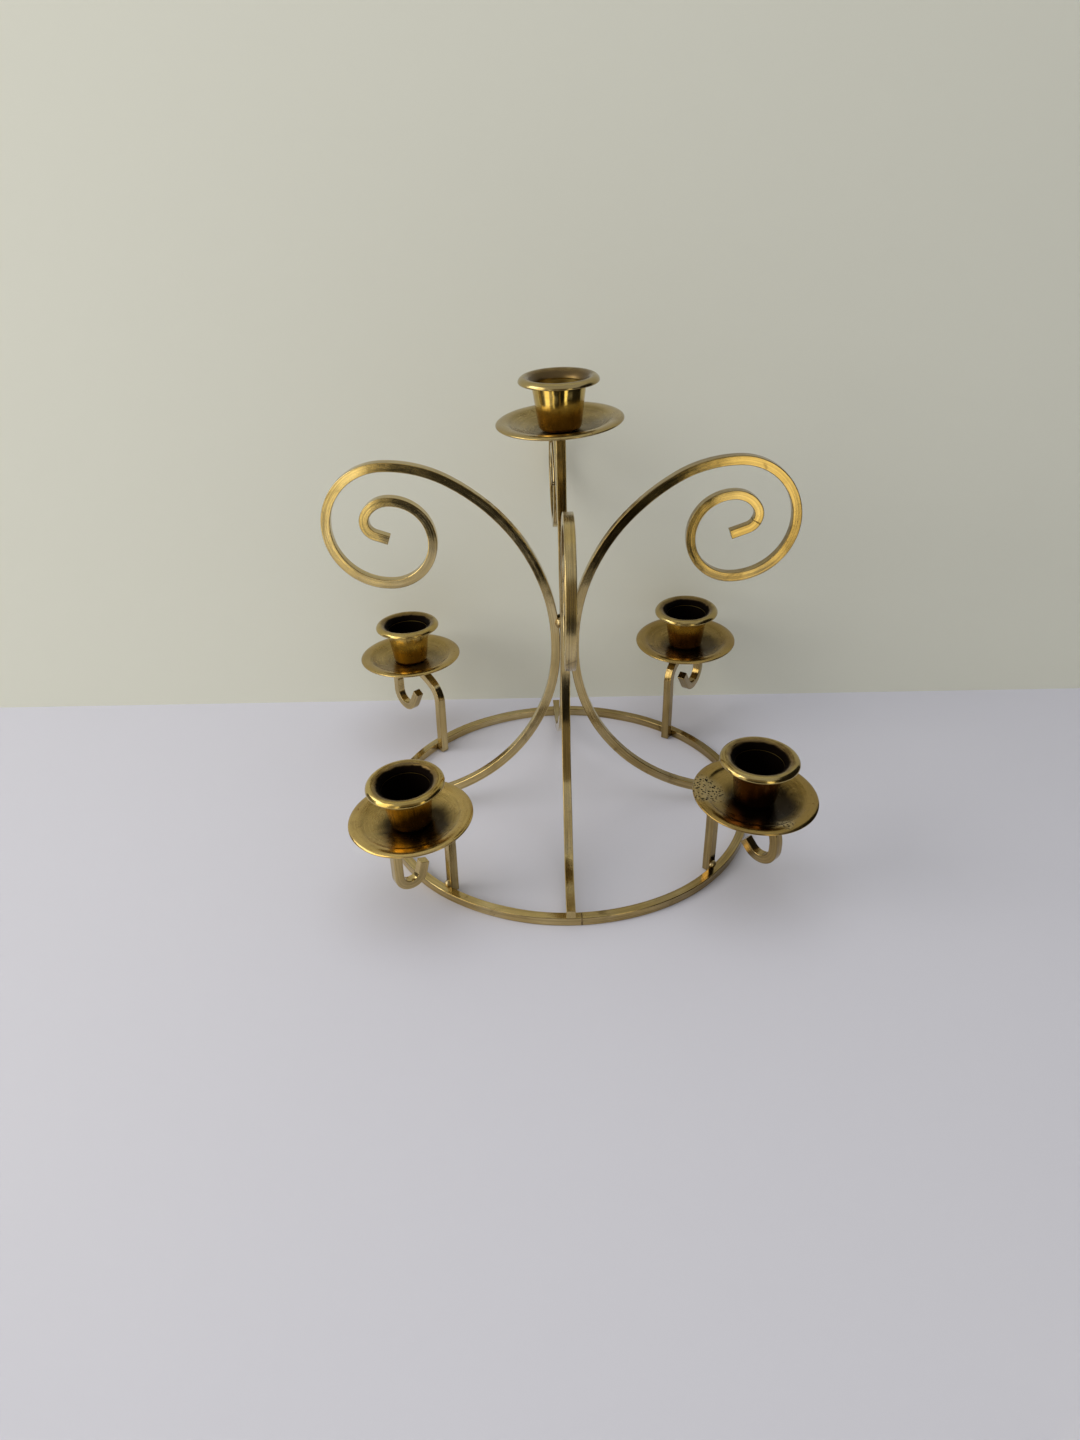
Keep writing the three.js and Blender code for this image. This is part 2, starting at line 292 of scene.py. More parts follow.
def turnedStreaks(tree, look, coordinates, place):
    # coordinates in mm round the piece's own axis, with the reach out from it and the height along it
    own = newNode(tree, "ShaderNodeMapping", {"Location": place.translation * mm, "Rotation": place.to_euler(),
                                              "Scale": (mm, mm, mm)})
    own.vector_type = "TEXTURE"
    tree.links.new(coordinates, own.inputs["Vector"])
    x, y, height = axesNode(tree, own.outputs[0])
    squares = [mathNode(tree, "MULTIPLY", v, v) for v in (x, y)]
    reach = mathNode(tree, "SQRT", mathNode(tree, "ADD", mathNode(tree, "ADD", *squares), 0.01))
    look.update(own=own.outputs[0], reach=reach, height=height)
    # turning marks run round the piece
    turning = tree.nodes.new("ShaderNodeCombineXYZ")
    for index, value in enumerate((mathNode(tree, "DIVIDE", x, reach), mathNode(tree, "DIVIDE", y, reach),
                                   mathNode(tree, "MULTIPLY", reach, metal["turned"]))):
        tree.links.new(value, turning.inputs[index])
    return noiseNode(tree, turning.outputs[0], 1.0, detail=5.0, roughness=0.7,
                     fourth=mathNode(tree, "MULTIPLY", height, metal["turned"]))


# the bars: painted shade darkens the side away from the window, and the front scroll is scuffed from being
# taken hold of
barShadeAndScuff = {
    "aged": (0.66, 0.62, 0.56),
    "awayShadeSpan": (0.0, 95.0),
    "awayShadeStray": 60.0,
    "scuff": 0.15,
    "scuffForward": (-55.0, -90.0),
    "scuffUp": (80.0, 110.0),
}


def shadeAndScuffBar(tree, look):
    x, y, z = axesNode(tree, look["around"])
    # painted shade: the bars' colour grows darker towards +x, the side away from the window
    rightward = mathNode(tree, "MULTIPLY_ADD", look["patches"], barShadeAndScuff["awayShadeStray"], x)
    look["colour"] = mixColour(tree, spanNode(tree, rightward, barShadeAndScuff["awayShadeSpan"]), look["colour"],
                               barShadeAndScuff["aged"], "MULTIPLY")
    scuffed = mathNode(tree, "MULTIPLY", spanNode(tree, y, barShadeAndScuff["scuffForward"], (0.0, barShadeAndScuff["scuff"])),
                       spanNode(tree, z, barShadeAndScuff["scuffUp"]))
    look["rough"] = mathNode(tree, "ADD", look["rough"], scuffed)


# the plates: a rim painted brighter, brown stains on it, painted shadow and reflection of the cup beside it
# without lacquer, and pits
plateWearAndShade = {
    "rim": {"span": (23.6, 26.0), "colour": (0.60, 0.46, 0.20), "most": 0.45, "rough": -0.05},
    "stain": {"scale": 0.55, "span": (0.60, 0.68), "colour": (0.24, 0.12, 0.04), "most": 0.75},
    "smoke": {"side": (3.0, -4.0, 0.0), "span": (18.5, 28.0), "stray": 10.0, "edge": (24.2, 22.4),
              "colour": (0.014, 0.008, 0.003), "rough": 0.06, "bare": 0.8},
    "pit": {"height": 4.0, "stray": 8.0, "spread": 4.0, "core": 0.5, "pale": (0.56, 0.46, 0.26),
            "paleMost": 0.5, "scale": 0.7, "ragged": 0.9, "span": (0.86, 0.76),
            "colour": (0.012, 0.008, 0.004), "rough": 0.3},
}


def ageAndShadePlate(tree, look, finish, place, wornAndShaded):
    rim, stain, smoke, pit = (plateWearAndShade[key] for key in ("rim", "stain", "smoke", "pit"))
    # the rim band is painted brighter and a little smoother
    onRim = spanNode(tree, look["reach"], rim["span"])
    tint(tree, look, onRim, rim["colour"], rim["most"])
    roughen(tree, look, onRim, rim["rough"])
    stains = noiseNode(tree, look["around"], stain["scale"], detail=5.0, roughness=0.65, distortion=0.4)
    tintShare = mathNode(tree, "MULTIPLY", spanNode(tree, stains, stain["span"]), onRim)
    tint(tree, look, tintShare, stain["colour"], stain["most"])
    look["colour"] = mixColour(tree, 1.0, look["colour"], wornAndShaded["tone"], "MULTIPLY")

    # painted shadow and reflection of the cup: near black on the well to the front right of the cup, with the
    # lacquer off
    away = awayFrom(tree, look["around"], place.translation + Vector(smoke["side"]))
    away = mathNode(tree, "MULTIPLY_ADD", look["patches"], smoke["stray"], away)
    cupShadowed = mathNode(tree, "MULTIPLY", spanNode(tree, away, smoke["span"], (wornAndShaded["smoke"], 0.0)),
                      spanNode(tree, look["reach"], smoke["edge"]))
    tint(tree, look, cupShadowed, smoke["colour"])
    roughen(tree, look, cupShadowed, smoke["rough"])
    look["coat"] = spanNode(tree, cupShadowed, (0.0, smoke["bare"]), (finish["lacquer"], 0.0))

    for direction, distance, size in wornAndShaded["pits"]:
        angle = radians(direction)
        centre = Vector((distance * cos(angle), distance * sin(angle), pit["height"]))
        away = awayFrom(tree, look["own"], centre)
        away = mathNode(tree, "MULTIPLY_ADD", look["patches"], pit["stray"], away)
        pitted = spanNode(tree, away, (size + pit["spread"], size * pit["core"] + pit["spread"]))
        cells = newNode(tree, "ShaderNodeTexVoronoi", {"Scale": pit["scale"]})
        tree.links.new(look["around"], cells.inputs["Vector"])
        ragged = mathNode(tree, "MULTIPLY_ADD", stains, pit["ragged"], cells.outputs["Distance"])
        eaten = mathNode(tree, "MULTIPLY", spanNode(tree, ragged, pit["span"]), pitted)
        look["specks"] = mathNode(tree, "MAXIMUM", look["specks"], eaten)
        tint(tree, look, pitted, pit["pale"], pit["paleMost"])
        tint(tree, look, eaten, pit["colour"])
        roughen(tree, look, eaten, pit["rough"])


# the cups: a painted reflection of the plate low down, a dull lip, its inner slope painted darker towards the
# hole, soot and painted shade in the hole
cupWearAndShade = {
    "amber": {"stray": 4.0, "fadeUp": 2.0, "fadeDown": 3.0, "neck": (21.0, 20.0)},
    "lip": {"up": (20.4, 22.4), "colour": (0.38, 0.295, 0.135), "rough": 0.1},
    "flame": {"stray": -5.0, "span": (15.2, 12.4), "most": 0.8, "up": (20.4, 21.6),
              "colour": (0.13, 0.075, 0.028)},
    "soot": {"facingUp": (0.02, 0.09), "stray": 2.2, "radius": 12.9, "span": (-0.9, 0.5),
             "colour": (0.005, 0.003, 0.002), "rough": 0.6},
}


def ageAndShadeCup(tree, look, finish, place, wornAndShaded):
    amber, lip, flame, soot = (cupWearAndShade[key] for key in ("amber", "lip", "flame", "soot"))
    reach, height, patches = look["reach"], look["height"], look["patches"]
    # painted reflection of the plate: the lower cup is tinted amber to dark brown
    tintShare = spanNode(tree, mathNode(tree, "MULTIPLY_ADD", patches, amber["stray"], height),
                       (wornAndShaded["plateReflectionTop"] + amber["fadeUp"], wornAndShaded["plateReflectionTop"] - amber["fadeDown"]),
                       (0.0, wornAndShaded["plateReflectionMost"]))
    tint(tree, look, mathNode(tree, "MULTIPLY", tintShare, spanNode(tree, height, amber["neck"])), wornAndShaded["amber"])
    dull = mathNode(tree, "MULTIPLY", spanNode(tree, height, lip["up"]), wornAndShaded["dullLip"])
    tint(tree, look, dull, lip["colour"])
    roughen(tree, look, dull, lip["rough"])
    # the lip's inner slope is painted darker towards the hole
    darkenedSlope = mathNode(tree, "MULTIPLY_ADD", patches, flame["stray"], reach)
    darkenedSlope = mathNode(tree, "MULTIPLY", spanNode(tree, darkenedSlope, flame["span"], (0.0, flame["most"])),
                       spanNode(tree, height, flame["up"]))
    tint(tree, look, darkenedSlope, flame["colour"])

    # the hole is what faces up the cup's axis within its mouth
    facing = tree.nodes.new("ShaderNodeVectorMath")
    facing.operation = "DOT_PRODUCT"
    tree.links.new(tree.nodes.new("ShaderNodeNewGeometry").outputs["Normal"], facing.inputs[0])
    facing.inputs[1].default_value = place.to_3x3() @ Vector((0, 0, 1))
    # soot and painted shade: the hole is painted near black
    mouth = mathNode(tree, "MULTIPLY_ADD", patches, soot["stray"], soot["radius"])
    inside = spanNode(tree, mathNode(tree, "SUBTRACT", mouth, reach), soot["span"], (0.0, wornAndShaded["soot"]))
    black = mathNode(tree, "MULTIPLY", spanNode(tree, facing.outputs["Value"], soot["facingUp"]), inside)
    tint(tree, look, black, soot["colour"])
    roughen(tree, look, black, soot["rough"])
    look["coat"] = spanNode(tree, black, (0.0, 1.0), (finish["lacquer"], 0.0))


def brassMaterial(name, finish, form, place=None, wornAndShaded=None):
    material, tree, shader = startMaterial(name)
    setInputs(shader, {"Metallic": 1.0, "Coat Weight": finish["lacquer"], "Coat Roughness": metal["coatRough"],
                       "Coat IOR": metal["coatIndex"]})
    coordinates = tree.nodes.new("ShaderNodeTexCoord").outputs["Object"]
    around = scaledNode(tree, coordinates, (1 / mm, 1 / mm, 1 / mm))
    clouds = noiseNode(tree, around, finish["cloud"], detail=4.0, roughness=0.55, distortion=0.3)
    patches = noiseNode(tree, around, finish["patch"], detail=5.0, roughness=0.62, distortion=0.8)
    grain = noiseNode(tree, around, metal["grain"], detail=3.0, roughness=0.6)
    specks = noiseNode(tree, around, finish["speckle"], detail=2.0, roughness=0.5)
    groups = noiseNode(tree, around, metal["speckGroups"], detail=2.0, roughness=0.5)
    fewer = spanNode(tree, groups, metal["groupSpan"], (metal["fewer"], 0.0))
    specks = mathNode(tree, "SUBTRACT", specks, fewer)
    look = {"around": around, "patches": patches, "specks": spanNode(tree, specks, finish["speckSpan"])}
    if form == "bar":
        streaks = drawnStreaks(tree)
    elif form == "lump":
        streaks = noiseNode(tree, around, 0.9, detail=3.0, roughness=0.6, distortion=0.5)
    else:
        streaks = turnedStreaks(tree, look, coordinates, place)

    look["colour"] = rampNode(tree, clouds, finish["colours"])
    tarnished = spanNode(tree, patches, finish["tarnishSpan"], (0.0, finish["tarnishMost"]))
    tint(tree, look, tarnished, finish["tarnish"])
    shade = spanNode(tree, streaks, metal["shadeSpan"], finish["streaks"])
    look["colour"] = mixColour(tree, 1.0, look["colour"], shade, "MULTIPLY")
    look["rough"] = spanNode(tree, patches, metal["roughSpan"], finish["roughness"])
    look["rough"] = mathNode(tree, "ADD", look["rough"],
                             spanNode(tree, streaks, metal["streakSpan"], (0.0, finish["streakRough"])))
    if form == "bar":
        shadeAndScuffBar(tree, look)
    tint(tree, look, look["specks"], metal["speck"], metal["speckMost"])
    roughen(tree, look, look["specks"], metal["speckRough"])
    if form == "plate":
        ageAndShadePlate(tree, look, finish, place, wornAndShaded)
    if form == "cup":
        ageAndShadeCup(tree, look, finish, place, wornAndShaded)

    link = tree.links.new
    link(look["colour"], shader.inputs["Base Color"])
    link(look["rough"], shader.inputs["Roughness"])
    if "coat" in look:
        link(look["coat"], shader.inputs["Coat Weight"])
    relief = mathNode(tree, "MULTIPLY_ADD", grain, metal["grainRelief"],
                      mathNode(tree, "MULTIPLY", streaks, metal["streakRelief"]))
    relief = mathNode(tree, "MULTIPLY_ADD", look["specks"], metal["speckRelief"], relief)
    bump = newNode(tree, "ShaderNodeBump", {"Strength": finish["bump"], "Distance": metal["relief"] * mm})
    link(relief, bump.inputs["Height"])
    if "wave" in finish:
        # hand work leaves the surface slightly uneven, which breaks up what it reflects
        wave = newNode(tree, "ShaderNodeBump", {"Distance": finish["wave"] * mm})
        uneven = noiseNode(tree, around, finish["waveScale"], detail=2.0, roughness=0.45)
        link(uneven, wave.inputs["Height"])
        link(wave.outputs[0], bump.inputs["Normal"])
    link(bump.outputs[0], shader.inputs["Normal"])
    return material


barBrass = brassMaterial("aged brass bar", barFinish, "bar")
weldBrass = brassMaterial("brazing metal", weldFinish, "lump")
jointBrass = brassMaterial("scorched joint", jointFinish, "lump")
print("finishes ready")


# Bent bar: a square section with softened corners, drawn along straight runs and round bends

bar = {"side": 4.75, "corner": 0.42, "cornerSteps": 3, "bendStep": 3.0, "straightStep": 5.0, "waver": 0.14,
       "waverLength": 22.0, "endRound": 0.25, "endSteps": 2, "flatWeight": 60, "gap": 0.3}
half = bar["side"] / 2


def bentBar(name, runs, start, heading, place, node):
    bm = bmesh.new()
    straight = bm.verts.layers.float_vector.new("straight")  # place in the bar before it was bent
    bmesh.ops.create_grid(bm, x_segments=1, y_segments=1, size=half)
    bmesh.ops.bevel(bm, geom=bm.verts[:], offset=bar["corner"], affect="VERTICES",
                    segments=bar["cornerSteps"], profile=0.5, material=-1)
    for vert in bm.verts:
        vert[straight] = vert.co
    x, z = start
    bmesh.ops.transform(bm, matrix=shift(x, 0, z) @ turnAbout("Y", 90 - heading), verts=bm.verts[:])
    face = bm.faces[:][0]
    travelled = 0
    for run in runs:
        turn = run.get("turn", 0)
        angle = radians(heading)
        if turn:
            radius = run["radius"]
            centre = Vector((x + radius * sin(angle), 0, z - radius * cos(angle)))
            steps = max(3, ceil(abs(turn) / bar["bendStep"]))
            length = radius * radians(turn)
        else:
            length = run["length"]
            steps = max(1, ceil(length / bar["straightStep"]))
            step = Vector((cos(angle), 0, sin(angle))) * (length / steps)
        for _ in range(steps):
            travelled += length / steps
            if turn:
                made = bmesh.ops.spin(bm, geom=[face], cent=centre, axis=(0, 1, 0), angle=radians(turn / steps),
                                      steps=1, use_merge=False, use_duplicate=False)["geom_last"]
            else:
                made = bmesh.ops.extrude_face_region(bm, geom=[face])["geom"]
                bmesh.ops.translate(bm, vec=step, verts=[g for g in made if isinstance(g, bmesh.types.BMVert)])
            face = [g for g in made if isinstance(g, bmesh.types.BMFace)][0]
            for vert in face.verts:
                vert[straight].z = travelled
        if turn:
            heading -= turn
            x, z = centre.x - radius * sin(radians(heading)), centre.z + radius * cos(radians(heading))
        else:
            x, z = x + step.x * steps, z + step.z * steps
    bmesh.ops.recalc_face_normals(bm, faces=bm.faces[:])
    # the bar wavers a little, but stays inside the box of its CAD node
    back = place.inverted()
    low, high = [Vector(corner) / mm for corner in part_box(node)]
    for vert in bm.verts:
        spot = place @ vert.co
        spot += noise.noise_vector(spot / bar["waverLength"]) * bar["waver"]
        vert.co = back @ Vector([min(max(v, least), most) for v, least, most in zip(spot, low, high)])
    ends = [f for f in bm.faces if len(f.verts) > 4]
    rims = list(dict.fromkeys(edge for f in ends for edge in f.edges))
    bmesh.ops.bevel(bm, geom=rims, offset=bar["endRound"], affect="EDGES", segments=bar["endSteps"],
                    profile=0.5, material=-1)
    piece = finishPiece(name, bm, place, barBrass, node)
    flats = piece.modifiers.new("flats", "WEIGHTED_NORMAL")
    flats.weight = bar["flatWeight"]
    flats.keep_sharp = True


# Base ring, with a narrow gap at the front for its joint

ring = {"radius": 105.0, "jointAngle": -88.0, "jointWidth": 1.2, "jointCorner": 0.4, "jointSteps": 3}
ringInside = ring["radius"] - bar["side"]
ringMiddle = ring["radius"] - half


def buildRing():
    gapTurn = (ring["jointWidth"] / 2 + bar["gap"] / 2) / ringMiddle * 180 / pi
    start = ring["jointAngle"] - gapTurn
    angle = radians(start)
    first = (ringMiddle * cos(angle), ringMiddle * sin(angle))
    # drawn in an upright plane, then laid down: a bend to the right becomes a clockwise turn
    lying = shift(0, 0, half) @ turnAbout("X", 90)
    bentBar("ringBar", [{"radius": ringMiddle, "turn": 360 - 2 * gapTurn}], first, start - 90, lying,
            "base_ring")


buildRing()
print("base ring ready")


# Scrolls: from a foot on the ring up to the post, beside it, and over into a volute

scroll = {
    "contact": 4.0,
    "leaving": {"radius": 102.5, "turn": 60},
    "shoulderTurn": 30,
    "curls": [(30.6, 180), (22.2, 120), (21.0, 60), (13.2, 60), (7.7, 100)],
    "each": [
        {"name": "right", "azimuth": 0, "shoulder": 59.4, "tail": 9.0},
        {"name": "back", "azimuth": 91, "shoulder": 61.0, "tail": 8.0},
        {"name": "left", "azimuth": 180, "shoulder": 64.4, "tail": 7.0},
        {"name": "front", "azimuth": 269, "shoulder": 61.0, "tail": 8.0},
    ],
}
contactRadius = half + bar["gap"] + half
sweepRadius = ringInside - contactRadius
contactBottom = bar["side"] + half + sweepRadius
contactTop = contactBottom + scroll["contact"]

for one in scroll["each"]:
    runs = [{"length": bar["side"]}, {"radius": sweepRadius, "turn": 90}, {"length": scroll["contact"]},
            scroll["leaving"], {"radius": one["shoulder"], "turn": scroll["shoulderTurn"]}]
    runs += [{"radius": radius, "turn": turn} for radius, turn in scroll["curls"]]
    runs.append({"length": one["tail"]})
    bentBar(pieceName("scroll", one["name"]), runs, (ring["radius"], bar["side"] + half), 180,
            turnAbout("Z", one["azimuth"]), "scroll_" + one["name"])
print("scrolls ready")


# Post and crooks, and the seats on top of them where the plates and cups go

post = {"top": 217.7, "bottom": 79.0, "lean": 0.8, "cupLean": -0.7}
crooks = [
    {"name": "front_left", "azimuth": -130, "swing": -18, "lean": 3.9, "crest": 48.8,
     "back": 25.5, "nose": 11.4, "drop": 15, "hook": 6.6, "curl": 165, "tail": 6.2},
    {"name": "front_right", "azimuth": -40.8, "swing": -8.1, "lean": 1.9, "crest": 54.4,
     "back": 35, "nose": 16, "drop": 2.9, "hook": 8.4, "curl": 134, "tail": 5},
    {"name": "back_right", "azimuth": 45.8, "swing": 10, "lean": -2.5, "crest": 55,
     "back": 32.3, "nose": 20.7, "drop": 1, "hook": 9.6, "curl": 145, "tail": 10.9},
    {"name": "back_left", "azimuth": 141, "swing": -10.3, "lean": 2.2, "crest": 51.3,
     "back": 41.6, "nose": 17.5, "drop": 6, "hook": 8.7, "curl": 151, "tail": 10.6},
]
knee = {"radius": 12.0, "turn": 60, "lift": 0.5}
seats = {}
feet = {}


def buildPost():
    stand = shift(0, 0, contactBottom) @ turnAbout("Y", -post["lean"])
    bentBar("centrePost", [{"length": post["top"] - post["bottom"]}], (0, post["bottom"] - contactBottom), 90,
            stand, "centre_post")
    seats["top"] = stand @ shift(0, 0, post["top"] - contactBottom) @ turnAbout("Y", post["cupLean"])


def buildCrook(crook):
    swing, azimuth, lean = (radians(crook[key]) for key in ("swing", "azimuth", "lean"))
    kneeTurn, backTurn = radians(knee["turn"]), radians(90 - knee["turn"])
    back, nose, crest = crook["back"], crook["nose"], crook["crest"]
    # turned about its own upright, the bar's corner reaches further out than its flat
    reach = ringInside - bar["gap"] - half * (cos(swing) + abs(sin(swing)))
    foot = shift(reach * cos(azimuth), reach * sin(azimuth), 0)
    foot = foot @ turnAbout("Z", crook["azimuth"] + crook["swing"])
    rise = knee["radius"] * sin(kneeTurn) + back * (1 - cos(backTurn))
    runs = [{"length": crest - rise - knee["lift"]}, {"radius": knee["radius"], "turn": knee["turn"]},
            {"radius": back, "turn": 90 - knee["turn"]}, {"radius": nose, "turn": 90},
            {"length": crook["drop"]}, {"radius": crook["hook"], "turn": crook["curl"]},
            {"length": crook["tail"]}]
    bentBar(pieceName("crook", crook["name"]), runs, (0, knee["lift"]), 90, foot, "crook_" + crook["name"])
    # the seat leans, so it lies a little beside the highest point of the bend
    peak = knee["radius"] * (1 - cos(kneeTurn)) + back * sin(backTurn)
    bend = back if lean < 0 else nose
    seat = shift(peak + (bend + half) * sin(lean), 0, crest - bend + (bend + half) * cos(lean))
    seats[crook["name"]] = foot @ seat @ turnAbout("Y", crook["lean"])
    feet[crook["name"]] = foot


buildPost()
for crook in crooks:
    buildCrook(crook)
print("post and crooks ready")


# Drip plates, candle cups and rivets, turned round the axis of their seat

plate = {
    # radius, height above the floor, and how far it goes down with a deeper dish
    "line": [(0, 0, 0), (4, 0, 0), (8.6, 0, 0), (11.5, 0.2, 0.07), (15.5, 0.95, 0.33), (19.5, 1.9, 0.65),
             (22.2, 2.52, 0.9), (23.4, 2.85, 1), (24.2, 3.24, 1), (25.0, 3.68, 1), (26.3, 4.05, 1),
             (28.0, 4.2, 1), (29.3, 4.05, 1), (30.2, 3.7, 1), (30.68, 3.2, 1)],
    "sheet": 1.0,
    "steps": 48,
    # two of them are tipped, in degrees, and the top one is a deeper dish
    "askew": {"top": {"out": -1.8, "front": 0.8, "deeper": 1.6},
              "front_right": {"out": 2.2, "front": 0, "deeper": 0}},
}
cup = {
    # radius and height above the cup's own floor
    "line": [(0, 0), (4, 0), (7.6, 0), (8.9, 0.2), (9.7, 0.95), (10.0, 2.2), (10.55, 6.5), (11.2, 11.5),
             (11.9, 16.5), (12.32, 19.3), (12.42, 20.0), (12.4, 20.5), (12.7, 21.1), (13.2, 21.8),
             (13.9, 22.55), (14.8, 23.25), (15.8, 23.75), (16.7, 23.9), (17.6, 23.65), (18.4, 23.05),
             (18.85, 22.2), (18.7, 21.5)],
    "sheet": 1.1,
    "steps": 40,
    "base": 9.8,
}
rivet = {
    "shank": 1.2,
    "head": 3.2,
    "tail": 2.1,
    # share of the radius, and height from the cup's floor or the bar's underside
    "headLine": [(1, 0), (0.95, 0.35), (0.7, 0.95), (0.35, 1.3), (0, 1.3)],
    "tailLine": [(0, -1.2), (0.7, -1.2), (1, -0.5), (1, 0.2)],
    "sunk": 0.2,
    "postDepth": 8.7,
    "headGap": 0.09,
    "steps": 24,
}
smoothLevels = 2
# how each holder has aged and is shaded: soot and painted shade in the hole; painted reflection of the plate on
# the cup, its most and how far up it goes; how dull the lip is; the plate's tone; painted shadow of the cup on
# the plate; and pits, as direction, distance and size
holderWearAndShade = {
    "top": {"soot": 0.35, "amber": (0.36, 0.17, 0.018), "plateReflectionMost": 0.8, "plateReflectionTop": 13,
            "dullLip": 0.8, "tone": (0.86, 0.84, 0.82), "smoke": 0.5, "pits": []},
    "front_left": {"soot": 1.0, "amber": (0.52, 0.27, 0.015), "plateReflectionMost": 0.95, "plateReflectionTop": 19,
                   "dullLip": 0.25, "tone": (1.05, 0.98, 0.85), "smoke": 0.95, "pits": []},
    "front_right": {"soot": 1.0, "amber": (0.13, 0.042, 0.011), "plateReflectionMost": 0.95, "plateReflectionTop": 22,
                    "dullLip": 0.6, "tone": (0.74, 0.65, 0.48), "smoke": 0.97,
                    "pits": [(222, 25.5, 13), (342, 25.5, 5)]},
    "back_right": {"soot": 1.0, "amber": (0.24, 0.10, 0.02), "plateReflectionMost": 0.9, "plateReflectionTop": 16,
                   "dullLip": 0.6, "tone": (0.85, 0.77, 0.62), "smoke": 0.8, "pits": []},
    "back_left": {"soot": 1.0, "amber": (0.45, 0.24, 0.018), "plateReflectionMost": 0.9, "plateReflectionTop": 13,
                  "dullLip": 0.35, "tone": (1.0, 0.95, 0.85), "smoke": 0.5, "pits": []},
}


def spinLine(points, steps):
    bm = bmesh.new()
    verts = [bm.verts.new((r, 0, z)) for r, z in points]
    for first, second in zip(verts, verts[1:]):
        bm.edges.new((first, second))
    bmesh.ops.spin(bm, geom=bm.verts[:] + bm.edges[:], cent=(0, 0, 0), axis=(0, 0, 1), angle=2 * pi,
                   steps=steps, use_merge=True, use_duplicate=False)
    bmesh.ops.remove_doubles(bm, verts=bm.verts[:], dist=1e-3)
    bmesh.ops.recalc_face_normals(bm, faces=bm.faces[:])
    return bm


def turnedSheet(name, line, sizes, place, material, node):
    # the line is the underside, so the sheet's middle lies half its thickness above it
    points = [(r, sizes["sheet"] / 2 + z) for r, z in line]
    piece = finishPiece(name, spinLine(points, sizes["steps"]), place, material, node)
    wall = piece.modifiers.new("wall", "SOLIDIFY")
    wall.thickness = sizes["sheet"] * mm
    wall.offset = 0
    wall.use_even_offset = True
    smooth = piece.modifiers.new("smooth", "SUBSURF")
    smooth.levels = smooth.render_levels = smoothLevels


def buildRivet(name, seat, headBase):
    if name == "top":
        # the post's rivet ends blind in the post
        under = rivet["postDepth"]
        points = [(0, -under)]
    else:
        under = bar["side"] + bar["gap"]
        points = [(rivet["tail"] * share, z - under) for share, z in rivet["tailLine"]]
    points += [(rivet["shank"], rivet["sunk"] - under), (rivet["shank"], headBase)]
    points += [(rivet["head"] * share, headBase + z) for share, z in rivet["headLine"]]
    finishPiece(pieceName("cupRivet", name), spinLine(points, rivet["steps"]), seat, weldBrass,
                "cup_rivet_" + name)


def buildHolder(name, seat):
    askew = plate["askew"].get(name, {"out": 0, "front": 0, "deeper": 0})
    rock = sin(radians(hypot(askew["out"], askew["front"])))
    # a tipped plate stands on the edge of the bar, and the cup on the edge of its own base
    plateBase = bar["gap"] + half * sqrt(2) * rock
    cupBase = plateBase + plate["sheet"] + bar["gap"] + cup["base"] * rock
    platePlace = seat @ shift(0, 0, plateBase) @ turnAbout("X", askew["front"]) @ turnAbout("Y", askew["out"])
    cupPlace = seat @ shift(0, 0, cupBase)
    plateBrass = brassMaterial("plate brass " + name, plateFinish, "plate", platePlace, holderWearAndShade[name])
    plateLine = [(r, z + askew["deeper"] * share) for r, z, share in plate["line"]]
    turnedSheet(pieceName("dripPlate", name), plateLine, plate, platePlace, plateBrass,
                "drip_plate_" + name)
    cupBrass = brassMaterial("cup brass " + name, cupFinish, "cup", cupPlace, holderWearAndShade[name])
    turnedSheet(pieceName("candleCup", name), cup["line"], cup, cupPlace, cupBrass,
                "candle_cup_" + name)
    buildRivet(name, seat, cupBase + cup["sheet"] + rivet["headGap"])


for name, seat in seats.items():
    buildHolder(name, seat)
print("plates, cups and rivets ready")


# Beads of brazing metal: lumpy fillets in the corners where bars meet

bead = {"leg": 1.92, "length": 4.56, "postLeg": 2.72, "postLength": 6.0, "postRise": 12.0, "lump": 0.35,
        "lumpLength": 2.2, "sunk": 0.35, "rounds": 4}


def addBead(name, leg, length, place, node):
    # a rounded lump drawn out along Z, flattened into the corner between two bars
    bm = bmesh.new()
    bmesh.ops.create_icosphere(bm, subdivisions=bead["rounds"], radius=1.0)
    bmesh.ops.scale(bm, vec=(leg, leg, length / 2), verts=bm.verts[:])
    for vert in bm.verts:
        spot = place @ vert.co / bead["lumpLength"]
        vert.co += Vector(vert.normal) * noise.noise(spot) * bead["lump"]
        vert.co.x = max(vert.co.x, -bead["sunk"])
        vert.co.y = max(vert.co.y, -bead["sunk"])
    finishPiece(name, bm, place, weldBrass, node)


for one in scroll["each"]:
    place = turnAbout("Z", one["azimuth"]) @ shift(ringInside, 0, bar["side"])
    place = place @ turnAbout("Y", 180) @ turnAbout("X", -90)
    addBead(pieceName("footBead", one["name"]), bead["leg"], bead["length"], place, "foot_weld_" + one["name"])
for one, other in zip(scroll["each"], scroll["each"][1:] + scroll["each"][:1]):
    # each corner between two scrolls faces halfway between them
    halfway = (one["azimuth"] + other["azimuth"] + (0 if other["azimuth"] > one["azimuth"] else 360)) / 2
    place = turnAbout("Z", halfway - 45) @ shift(half, half, contactTop + bead["postRise"])
    pair = one["name"] + "_" + other["name"]
    addBead(pieceName("postBead", pair), bead["postLeg"], bead["postLength"], place, "post_weld_" + pair)
for name, foot in feet.items():
    place = foot @ shift(half, 0, bar["side"]) @ turnAbout("X", 90)
    addBead(pieceName("crookBead", name), bead["leg"], bead["length"], place, "crook_weld_" + name)
print("beads ready")


# The dressed joint of the ring, of the same section as the bar

